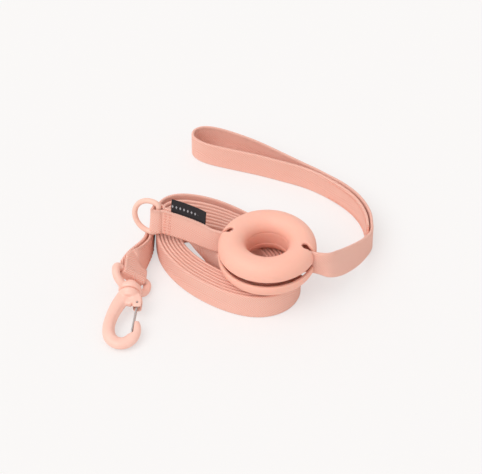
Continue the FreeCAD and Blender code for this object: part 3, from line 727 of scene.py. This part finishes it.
# How far in from an even share the turns inside the outermost one lie, at each point of the round.
LOOSE = [0, 0, 0, 0, 0, 0, 0, 0, 0, 0.02, 0.05, 0.08, 0.11, 0.125, 0.125, 0.12, 0.10, 0.06, 0.03, 0]


def coil_points():
    """Turns from the innermost outwards; each steps out by one layer as it passes the left end."""
    count = len(OUTER_TURN)
    points = [Vector((x, y, 0)) for x, y in COIL_INSIDE]
    for step in range(STARTS_AT, count * (LAYERS + 1)):
        turn, place = divmod(step, count)
        layer = LAYERS - turn - max(0, place - STEPS_OUT_AT) / (count - STEPS_OUT_AT)
        share = layer / LAYERS + LOOSE[place] * (1 - layer / LAYERS) * min(max(layer, 0), 1)
        outer, inner = Vector((*OUTER_TURN[place], 0)), Vector((*INNER_TURN[place], 0))
        points.append(outer + (inner - outer) * share)
    return [point + UP * (WIDTH / 2) for point in points[:-1]] + [Vector(HOOK_POINTS[0])]


turns = coil_points()
coil = Strap(turns, [UP] * len(turns))
coil_strap = ribbon("coil_strap", coil, WEBBING, step=0.8 * MM, cells=10, ripple=0.0)
finish_piece(coil_strap, "leash", "webbing", "strap_coil")


# ---- the strap wound on the hub

TURNS_WOUND = 2.5
POINTS_PER_TURN = 14
WINDING_INSIDE = 21.2 * MM
WINDING_OUTSIDE = 25.4 * MM


def winding_points():
    """Two and a half turns, from the handle's slot inwards."""
    count = int(TURNS_WOUND * POINTS_PER_TURN)
    points = []
    for k in range(count + 1):
        angle = math.radians(SLOT_HEADING) + 2 * math.pi * TURNS_WOUND * k / count
        radius = WINDING_OUTSIDE + (WINDING_INSIDE - WINDING_OUTSIDE) * k / count
        points.append(WINDER + Vector((math.cos(angle), math.sin(angle), 0)) * radius)
    return points


winding = winding_points()
wound = Strap(winding, [UP] * len(winding))
wound_strap = ribbon("wound_strap", wound, WEBBING, step=0.8 * MM, cells=10, ripple=0.0)
finish_piece(wound_strap, "leash", "webbing", "strap_winding")


# ---------------------------------------------------------------- moulded pieces

def applied(obj):
    """Bakes the object's modifiers into its mesh."""
    graph = bpy.context.evaluated_depsgraph_get()
    mesh = bpy.data.meshes.new_from_object(obj.evaluated_get(graph))
    obj.modifiers.clear()
    old = obj.data
    obj.data = mesh
    mesh.name = obj.name
    bpy.data.meshes.remove(old)
    return obj


def softened(obj, voxel, rounds):
    """Joins overlapping closed shapes into one skin and rounds its corners, as a mould does."""
    remesh = obj.modifiers.new("skin", "REMESH")
    remesh.mode = "VOXEL"
    remesh.voxel_size = voxel
    smooth = obj.modifiers.new("round", "SMOOTH")
    smooth.factor = 0.5
    smooth.iterations = rounds
    applied(obj)
    obj.data.polygons.foreach_set("use_smooth", [True] * len(obj.data.polygons))
    return obj


def cut_out(obj, cutters):
    """Cuts the cutters out of a piece and removes them."""
    for cutter in cutters:
        boolean = obj.modifiers.new("cut", "BOOLEAN")
        boolean.operation = "DIFFERENCE"
        boolean.solver = "EXACT"
        boolean.object = cutter
        applied(obj)
        bpy.data.objects.remove(cutter)
    return obj


def turned(profile, segments=160):
    """Vertices and faces of a closed outline of (radius, height) turned about Z."""
    vertices, faces = [], []
    count = len(profile)
    for s in range(segments):
        angle = 2 * math.pi * s / segments
        vertices += [Vector((r * math.cos(angle), r * math.sin(angle), z)) for r, z in profile]
        ahead = (s + 1) % segments
        for k in range(count):
            after = (k + 1) % count
            faces.append((s * count + k, ahead * count + k, ahead * count + after, s * count + after))
    return vertices, faces


def arc(centre_r, centre_z, radius, start, end, steps=24):
    """Points of an arc in a (radius, height) outline, with its angles in degrees."""
    points = []
    for k in range(steps + 1):
        angle = math.radians(start + (end - start) * k / steps)
        points.append((centre_r + radius * math.cos(angle), centre_z + radius * math.sin(angle)))
    return points


def joined(name, parts, material):
    """One object of several closed shapes, with all their faces turned outwards."""
    vertices, faces = [], []
    for part_vertices, part_faces in parts:
        first = len(vertices)
        vertices += part_vertices
        faces += [tuple(first + k for k in face) for face in part_faces]
    obj = make_object(name, vertices, faces, material)
    shape = bmesh.new()
    shape.from_mesh(obj.data)
    bmesh.ops.recalc_face_normals(shape, faces=shape.faces)
    shape.to_mesh(obj.data)
    shape.free()
    return obj


def placed(obj, material, matrix):
    """Gives a remeshed piece its material again and moves it to its place."""
    obj.data.materials.clear()
    obj.data.materials.append(material)
    obj.data.transform(matrix)
    return obj


def box_at(low, high):
    """A box as a cutter."""
    tool = bmesh.new()
    bmesh.ops.create_cube(tool, size=1.0)
    for vertex in tool.verts:
        vertex.co = Vector([low[k] + (vertex.co[k] + 0.5) * (high[k] - low[k]) for k in range(3)])
    return from_bmesh("cutter", tool)


def rod_at(centre, radius, low, high, sides=40):
    """An upright rod as a cutter."""
    tool = bmesh.new()
    bmesh.ops.create_cone(
        tool, cap_ends=True, segments=sides, radius1=radius, radius2=radius, depth=high - low,
        matrix=Matrix.Translation((centre[0], centre[1], (low + high) / 2)),
    )
    return from_bmesh("cutter", tool)


def from_bmesh(name, shape):
    """An object of a finished shape, with its faces turned outwards."""
    bmesh.ops.recalc_face_normals(shape, faces=shape.faces)
    mesh = bpy.data.meshes.new(name)
    shape.to_mesh(mesh)
    shape.free()
    obj = bpy.data.objects.new(name, mesh)
    bpy.context.scene.collection.objects.link(obj)
    return obj


# ---- winder

upper_low, upper_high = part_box("winder_upper_shell")
hub_low, hub_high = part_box("winder_hub")
FLANGE_RADIUS = (upper_high.y - upper_low.y) / 2
WALL = 2.4 * MM
HUB_RADIUS = (hub_high.x - hub_low.x) / 2
BORE_RADIUS = HUB_RADIUS - WALL
HUB_HALF = (hub_high.z - hub_low.z) / 2
TUBE = (FLANGE_RADIUS - BORE_RADIUS) / 2
TUBE_RING = (FLANGE_RADIUS + BORE_RADIUS) / 2
MOUTH_HALF = upper_low.z - WINDER.z
SLOT_HALF = THICK / 2 + 0.6 * MM
KEYHOLE_RADIUS = 2.7 * MM
KEYHOLE_REACH = 28.0 * MM
CUT_PAST = 5.0 * MM


def flange(name, sign):
    """One flange: a half-tube ring, open to the winding, with a lip and two slots that end in keyholes."""
    outline = arc(TUBE_RING, HUB_HALF, TUBE, 180, 0, 40)
    outline += [(FLANGE_RADIUS, MOUTH_HALF), (FLANGE_RADIUS - WALL, MOUTH_HALF)]
    outline += arc(TUBE_RING, HUB_HALF, TUBE - WALL, 0, 180, 32)
    shell = joined(name, [turned([(r, z * sign) for r, z in outline])], SILICONE)
    reach, top = FLANGE_RADIUS + CUT_PAST, TUBE + HUB_HALF + CUT_PAST
    low, high = sorted((0.0, top * sign))
    cutters = []
    for side in (-1, 1):
        ends = sorted((side * KEYHOLE_REACH, side * reach))
        cutters.append(box_at((ends[0], -SLOT_HALF, low), (ends[1], SLOT_HALF, high)))
        cutters.append(rod_at((side * KEYHOLE_REACH, 0), KEYHOLE_RADIUS, low, high))
    cut_out(shell, cutters)
    softened(shell, 0.5 * MM, 8)
    to_slots = Matrix.Rotation(math.radians(SLOT_HEADING), 4, "Z")
    return placed(shell, SILICONE, Matrix.Translation(WINDER) @ to_slots)


finish_piece(flange("upper_flange_skin", 1), "upper_flange", "silicone", "winder_upper_shell")
finish_piece(flange("lower_flange_skin", -1), "leash", "silicone", "winder_lower_shell")


def hub_sleeve():
    """The hub between the flanges, a sleeve with rounded edges."""
    soft = 0.5 * MM
    outline = arc(BORE_RADIUS + soft, HUB_HALF - soft, soft, 180, 90, 4)
    outline += arc(HUB_RADIUS - soft, HUB_HALF - soft, soft, 90, 0, 4)
    outline += arc(HUB_RADIUS - soft, soft - HUB_HALF, soft, 0, -90, 4)
    outline += arc(BORE_RADIUS + soft, soft - HUB_HALF, soft, -90, -180, 4)
    vertices, faces = turned(outline, 128)
    sleeve = make_object("hub_sleeve", vertices, faces, SILICONE)
    sleeve.data.transform(Matrix.Translation(WINDER))
    return sleeve


finish_piece(hub_sleeve(), "leash", "silicone", "winder_hub")


# ---- tubes: ring, eye, hook and gate

def tube(points, directions, wide, high, sides=32, closed=False, square=1.0):
    """Vertices and faces round a line. wide and high are its half sizes along each ring's two directions."""
    vertices, faces = [], []
    count = len(points)
    for k in range(count):
        one, two = directions[k]
        for s in range(sides):
            turn = 2 * math.pi * s / sides
            over, up = (math.copysign(abs(f(turn)) ** square, f(turn)) for f in (math.cos, math.sin))
            vertices.append(Vector(points[k]) + one * (wide[k] * over) + two * (high[k] * up))
    for k in range(count if closed else count - 1):
        ahead = (k + 1) % count
        for s in range(sides):
            after = (s + 1) % sides
            faces.append((k * sides + s, k * sides + after, ahead * sides + after, ahead * sides + s))
    if not closed:
        faces.append(tuple(range(sides - 1, -1, -1)))
        faces.append(tuple(range((count - 1) * sides, count * sides)))
    return vertices, faces


RING_OUTER_RADIUS = 14.8 * MM
RING_MIDDLE_RADIUS = RING_OUTER_RADIUS - RING_WIRE
RING_CORNER = 2.6 * MM


def d_ring():
    """A coated D-ring: a round part and a straight bar, joined by rounded corners."""
    bar_half = math.sqrt(RING_MIDDLE_RADIUS ** 2 - RING_BAR ** 2)
    corner = math.atan2(bar_half, RING_BAR)
    leave = corner + RING_CORNER / RING_MIDDLE_RADIUS
    plan = []
    for angle in np.linspace(leave, 2 * math.pi - leave, 110):
        plan.append(Vector((math.cos(angle), math.sin(angle))) * RING_MIDDLE_RADIUS)
    bar_low = Vector((RING_BAR, RING_CORNER - bar_half))
    bar_high = Vector((RING_BAR, bar_half - RING_CORNER))
    for first, knee, last in ((plan[-1], -bar_half, bar_low), (bar_high, bar_half, plan[0])):
        for share in np.linspace(0.08, 0.92, 10):
            straight = first * (1 - share) ** 2 + last * share ** 2
            plan.append(straight + Vector((RING_BAR, knee)) * (2 * share * (1 - share)))
        if knee < 0:
            plan += [bar_low.lerp(bar_high, share) for share in np.linspace(0, 1, 12)]
    line = np.array([RING + fold_along * p.x + fold_up * p.y for p in plan], float)
    along = unit(np.roll(line, -1, axis=0) - np.roll(line, 1, axis=0))
    ring_across = fold_along.cross(fold_up)
    directions = [(Vector(a).cross(ring_across), ring_across) for a in along]
    turns = np.linspace(0, 2 * math.pi, len(plan), endpoint=False)
    sizes = RING_WIRE * (1 + 0.008 * np.sin(3 * turns + 1) + 0.006 * np.sin(7 * turns))
    return joined("ring_loop", [tube(line, directions, sizes, sizes, 32, closed=True)], RING_COATING)


finish_piece(d_ring(), "ring", "ring_coating", "d_ring")

hook_x = HOOK_Y.cross(UP).normalized()
hook_z = hook_x.cross(HOOK_Y).normalized()
HOOK_FRAME = Matrix((hook_x, HOOK_Y, hook_z)).transposed().to_4x4()
HOOK_FRAME.translation = COLLAR
EYE_FRAME = Matrix((eye_x, eye_y, eye_z)).transposed().to_4x4()
EYE_FRAME.translation = COLLAR


def swept(points, wide, high, sides=32, fineness=10, square=1.0):
    """A flat-plane tube along the NURBS curve of (x, y) control points, with half sizes at each of them."""
    line = nurbs_line([Vector((x, y, 0)) for x, y in points], fineness)
    sizes = nurbs_line([Vector((w, h, 0)) for w, h in zip(wide, high)], fineness)
    along = unit(np.gradient(line, axis=0))
    directions = [(Vector((-a[1], a[0], 0)), UP) for a in along]
    return tube(line, directions, sizes[:, 0], sizes[:, 1], sides, square=square)


def turned_along_y(outline, segments=64):
    """A closed (radius, y) outline turned about the hook's own Y axis."""
    vertices, faces = turned(outline, segments)
    return [Vector((v.x, v.z, -v.y)) for v in vertices], faces


COLLAR_RADIUS = 8.3 * MM
COLLAR_HALF = 2.5 * MM
POST_RADIUS = 3.6 * MM
PLAY = 0.3 * MM
EYE_DEPTH = (BAR - COLLAR).length
EYE_HALF = 14.0 * MM
# The loop's right side from the collar to the bar, in millimetres and drawn for a size of 14 mm each way.
EYE_DRAWN = 0.014
EYE_SIDE = [(5.6, 0.2), (10.0, 2.2), (13.4, 5.2), (14.6, 9.6), (14.4, 12.8), (12.4, 14.0), (9.0, 14.0)]
EYE_THICK = [3.0, 3.0, 2.9, 3.0, 3.0, 2.7, 2.5]
COLLAR_SOFT = 1.6 * MM
BORE_PLAY = 0.1 * MM
CUT_HALF = 6.0 * MM


def eye_loop():
    """The swivel's eye: a thick rounded loop that grows out of the collar."""
    bend = [(x * MM * EYE_HALF / EYE_DRAWN, y * MM * EYE_DEPTH / EYE_DRAWN) for x, y in EYE_SIDE]
    path = bend + [(0.0, EYE_DEPTH)] + [(-x, y) for x, y in bend[::-1]]
    radii = [r * MM for r in EYE_THICK + EYE_THICK[-1:] + EYE_THICK[::-1]]
    soft = COLLAR_SOFT
    bore = POST_RADIUS + BORE_PLAY
    rim = arc(COLLAR_RADIUS - soft, COLLAR_HALF - soft, soft, 90, 0, 6)
    rim += arc(COLLAR_RADIUS - soft, soft - COLLAR_HALF, soft, 0, -90, 6)
    collar = turned_along_y([(bore, COLLAR_HALF)] + rim + [(bore, -COLLAR_HALF)])
    hole = rod_at((0, 0), bore, -CUT_HALF, CUT_HALF)
    hole.data.transform(Matrix.Rotation(math.pi / 2, 4, "X"))
    eye = joined("eye_loop", [swept(path, radii, radii), collar], HOOK_PLASTIC)
    softened(eye, 0.4 * MM, 3)
    cut_out(eye, [hole])
    softened(eye, 0.35 * MM, 4)
    return placed(eye, HOOK_PLASTIC, EYE_FRAME)


finish_piece(eye_loop(), "eye", "hook_plastic", "swivel_eye")


def head_cap():
    """The domed cap on the post's end, with a shallow groove round its foot."""
    low = COLLAR_HALF + PLAY
    dome_low = low + 1.4 * MM
    dome_rise = 3.3 * MM
    radius, rim_radius, groove_radius = 5.0 * MM, 5.15 * MM, 4.75 * MM
    outline = [(0.0, low), (radius, low), (rim_radius, low + 0.5 * MM), (groove_radius, low + 0.9 * MM)]
    outline += [(groove_radius, low + 1.1 * MM), (radius, dome_low)]
    outline += [(radius * math.cos(t), dome_low + dome_rise * math.sin(t)) for t in np.linspace(0.1, 1.5, 14)]
    outline.append((0.0, dome_low + dome_rise))
    cap = joined("head_cap", [turned_along_y(outline)], HOOK_PLASTIC)
    softened(cap, 0.22 * MM, 3)
    return placed(cap, HOOK_PLASTIC, HOOK_FRAME)


finish_piece(head_cap(), "hook", "hook_plastic", "swivel_head")

# The limb's middle from the shoulder round to the nose, in the hook's own plane and in millimetres,
# and the limb's half width and half thickness at each of these points.
LIMB_LINE = [
    (-2.6, -4.5), (-5.4, -9.5), (-8.4, -16.5), (-10.9, -25.0), (-12.2, -34.0), (-10.6, -42.5), (-5.2, -47.3),
    (1.2, -47.4), (6.4, -43.0), (8.2, -36.5), (7.6, -31.2), (7.2, -28.6),
]
LIMB_WIDE = [5.6, 5.2, 4.7, 4.2, 4.0, 4.3, 4.6, 4.6, 4.2, 3.7, 3.4, 2.4]
LIMB_HIGH = [3.4, 3.6, 3.6, 3.5, 3.4, 3.5, 3.6, 3.6, 3.5, 3.3, 3.1, 2.2]
RIDGE_SINK = 0.3
GATE_PIVOT = Vector((6.6, -13.0, 0)) * MM
PIN_HOLE_RADIUS = 0.85 * MM
# Two corners each, in millimetres: the stub's slot for the gate, and what is trimmed inside the nose.
GATE_SLOT = [(4.0, -25.0, -2.3), (12.5, -11.6, 2.3)]
NOSE_TRIM = [(0.0, -39.2, -10.0), (6.4, -25.2, 10.0)]


def scaled(rows):
    """Rows of millimetres in metres."""
    return [tuple(v * MM for v in row) for row in rows]


def snap_hook():
    """A shoulder under the collar, a flattened limb with a ridge inside it, a nose and the gate's stub."""
    limb = swept(scaled(LIMB_LINE), [w * MM for w in LIMB_WIDE], [h * MM for h in LIMB_HIGH])
    inward = []
    for k, (x, y) in enumerate(LIMB_LINE[1:-2], start=1):
        before, after = LIMB_LINE[k - 1], LIMB_LINE[k + 1]
        along = Vector((after[0] - before[0], after[1] - before[1], 0)).normalized()
        reach = LIMB_WIDE[k] - RIDGE_SINK
        inward.append((x - along.y * reach, y + along.x * reach))
    ridge = swept(scaled(inward), [1.15 * MM] * len(inward), [1.1 * MM] * len(inward), 20)
    stub = swept(
        scaled([(2.0, -4.5), (5.4, -7.6), (6.6, -11.5), (6.9, -16.8)]),
        [4.2 * MM, 4.0 * MM, 3.7 * MM, 3.0 * MM], [3.4 * MM, 3.6 * MM, 3.6 * MM, 3.4 * MM], square=0.5,
    )
    gusset = swept(
        scaled([(-4.5, -8.0), (-1.0, -9.6), (3.0, -10.6)]),
        [4.6 * MM, 4.4 * MM, 4.0 * MM], [2.3 * MM, 2.3 * MM, 2.3 * MM], square=0.5,
    )
    top = -(COLLAR_HALF + PLAY)
    radius = COLLAR_RADIUS - 0.6 * MM
    shoulder = turned_along_y([
        (0.0, top), (radius - 0.8 * MM, top), (radius, top - 0.9 * MM), (radius - 0.3 * MM, top - 2.6 * MM),
        (radius - 2.4 * MM, top - 5.4 * MM), (0.0, top - 6.4 * MM),
    ])
    post = turned_along_y([(0.0, -top), (POST_RADIUS, -top), (POST_RADIUS, top - 0.002), (0.0, top - 0.002)])
    hook = joined("snap_hook", [limb, ridge, stub, gusset, shoulder, post], HOOK_PLASTIC)
    softened(hook, 0.4 * MM, 4)
    cutters = [box_at(*scaled(corners)) for corners in (GATE_SLOT, NOSE_TRIM)]
    cutters.append(rod_at((GATE_PIVOT.x, GATE_PIVOT.y), PIN_HOLE_RADIUS, -CUT_HALF, CUT_HALF, 24))
    cut_out(hook, cutters)
    softened(hook, 0.32 * MM, 3)
    return placed(hook, HOOK_PLASTIC, HOOK_FRAME)


finish_piece(snap_hook(), "hook", "hook_plastic", "hook_body")


GATE_WIRE_RADIUS = 0.65 * MM
GATE_SPACING = 1.5 * MM
GATE_END = 3.6 * MM
GATE_REACH = 25 * MM
GATE_TIP_X = 5.2 * MM


def gate_spring():
    """A U of spring wire whose two ends turn out into the stub's cheeks."""
    near = GATE_PIVOT
    far = Vector((GATE_TIP_X, near.y - GATE_REACH, 0))
    lead = (far - near).normalized()
    foot, tip = near + UP * GATE_SPACING, far + UP * GATE_SPACING
    control = [near + UP * GATE_END, near + UP * 2.5 * MM, foot, foot + lead * 1.5 * MM, foot + lead * 8 * MM]
    control += [tip - lead * 8 * MM, tip - lead * 1.6 * MM, tip, far]
    control += [Vector((p.x, p.y, -p.z)) for p in control[-2::-1]]
    line = nurbs_line(control, 10)
    along = unit(np.gradient(line, axis=0))
    side = Vector((-lead.y, lead.x, 0))
    directions = []
    for a in along:
        one = side - Vector(a) * side.dot(Vector(a))
        one.normalize()
        directions.append((one, Vector(a).cross(one)))
    sizes = [GATE_WIRE_RADIUS] * len(line)
    gate = joined("gate_spring", [tube(line, directions, sizes, sizes, 16)], STEEL)
    gate.data.transform(HOOK_FRAME)
    return gate


finish_piece(gate_spring(), "gate", "steel", "gate_wire")
